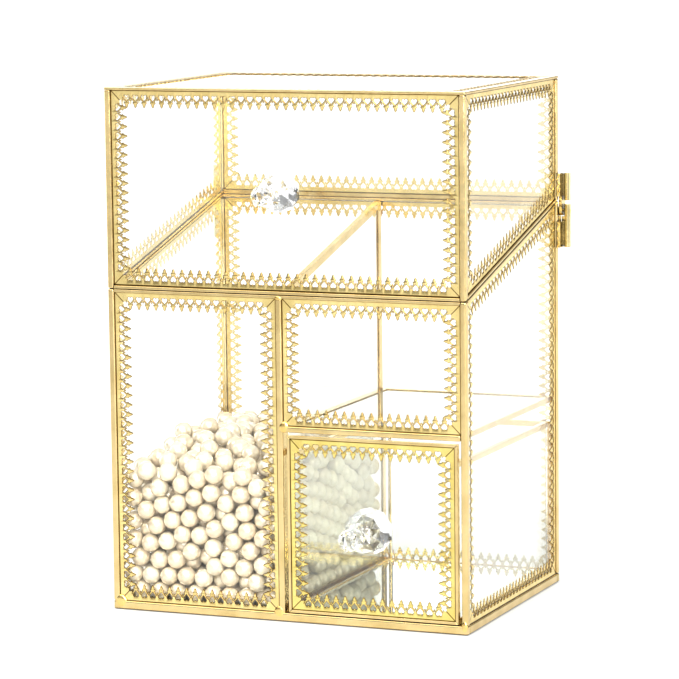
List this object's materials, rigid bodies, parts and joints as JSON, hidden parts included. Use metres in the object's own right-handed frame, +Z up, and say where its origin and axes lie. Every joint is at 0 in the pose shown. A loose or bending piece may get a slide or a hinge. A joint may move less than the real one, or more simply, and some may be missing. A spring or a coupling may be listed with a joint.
{
  "type": "jewelry box",
  "caption": "Tall glass jewelry box in a brass strip frame with lace trim, a hinged sloping lid, an open left bay holding pearls, a shelf bay and a mirror-floored drawer.",
  "frame": {"origin": "middle of the rectangle the box stands on, on the underside of the backing board, level with the bottom bars", "axes": "+X to the right seen from the front, +Y from the front to the rear, +Z up"},
  "size_m": [0.2116, 0.1899, 0.275],
  "materials": {
    "gold_frame": "polished gold plating on strip bars",
    "gold_lace": "polished gold plating on thin stamped trim",
    "hinge_brass": "polished gold plating on cast leaves",
    "clear_glass": "clear 2 mm pane with pale green edges",
    "mirror": "silvered glass floor",
    "crystal": "clear cut crystal",
    "backing_felt": "pale felt on a thin board",
    "pearl": "pearl-coated beads"
  },
  "bodies": {
    "base": {"base_backing_board": "backing_felt", "base_bottom_bars": "gold_frame", "base_floor_mirror": "mirror", "base_post_front_left": "gold_frame", "base_post_front_right": "gold_frame", "base_post_middle": "gold_frame", "base_post_rear_left": "gold_frame", "base_post_rear_right": "gold_frame", "base_rim_bars": "gold_frame", "divider_channels": "gold_frame", "divider_glass": "clear_glass", "drawer_lintel": "gold_frame", "glass_front_left": "clear_glass", "glass_front_upper": "clear_glass", "glass_left": "clear_glass", "glass_rear": "clear_glass", "glass_right": "clear_glass", "hinge_leaf_lower_left": "hinge_brass", "hinge_leaf_lower_right": "hinge_brass", "hinge_pin_left": "hinge_brass", "hinge_pin_right": "hinge_brass", "lace_front_left": "gold_lace", "lace_front_upper": "gold_lace", "lace_left": "gold_lace", "lace_rear": "gold_lace", "lace_right": "gold_lace", "pearl_fill": "pearl", "shelf_channels": "gold_frame", "shelf_glass": "clear_glass"},
    "lid": {"hinge_leaf_upper_left": "hinge_brass", "hinge_leaf_upper_right": "hinge_brass", "lid_glass_front": "clear_glass", "lid_glass_left": "clear_glass", "lid_glass_rear": "clear_glass", "lid_glass_right": "clear_glass", "lid_glass_top": "clear_glass", "lid_knob": "crystal", "lid_lace_front": "gold_lace", "lid_lace_left": "gold_lace", "lid_lace_rear": "gold_lace", "lid_lace_right": "gold_lace", "lid_lace_top": "gold_lace", "lid_post_front_left": "gold_frame", "lid_post_front_right": "gold_frame", "lid_post_rear_left": "gold_frame", "lid_post_rear_right": "gold_frame", "lid_rim_bars": "gold_frame", "lid_top_bars": "gold_frame"},
    "drawer": {"drawer_edge_bars": "gold_frame", "drawer_floor_mirror": "mirror", "drawer_front_frame": "gold_frame", "drawer_glass_front": "clear_glass", "drawer_glass_left": "clear_glass", "drawer_glass_rear": "clear_glass", "drawer_glass_right": "clear_glass", "drawer_knob": "crystal", "drawer_lace_front": "gold_lace"}
  },
  "joints": [
    {"name": "lid_hinge", "type": "hinge", "parent": "base", "child": "lid", "pos_m": [0, 0.0746, 0.2028], "axis": [-1, 0, 0], "range_deg": [0, 100]},
    {"name": "drawer_slide", "type": "slide", "parent": "base", "child": "drawer", "axis": [0, -1, 0], "range_m": [0, 0.11]}
  ]
}
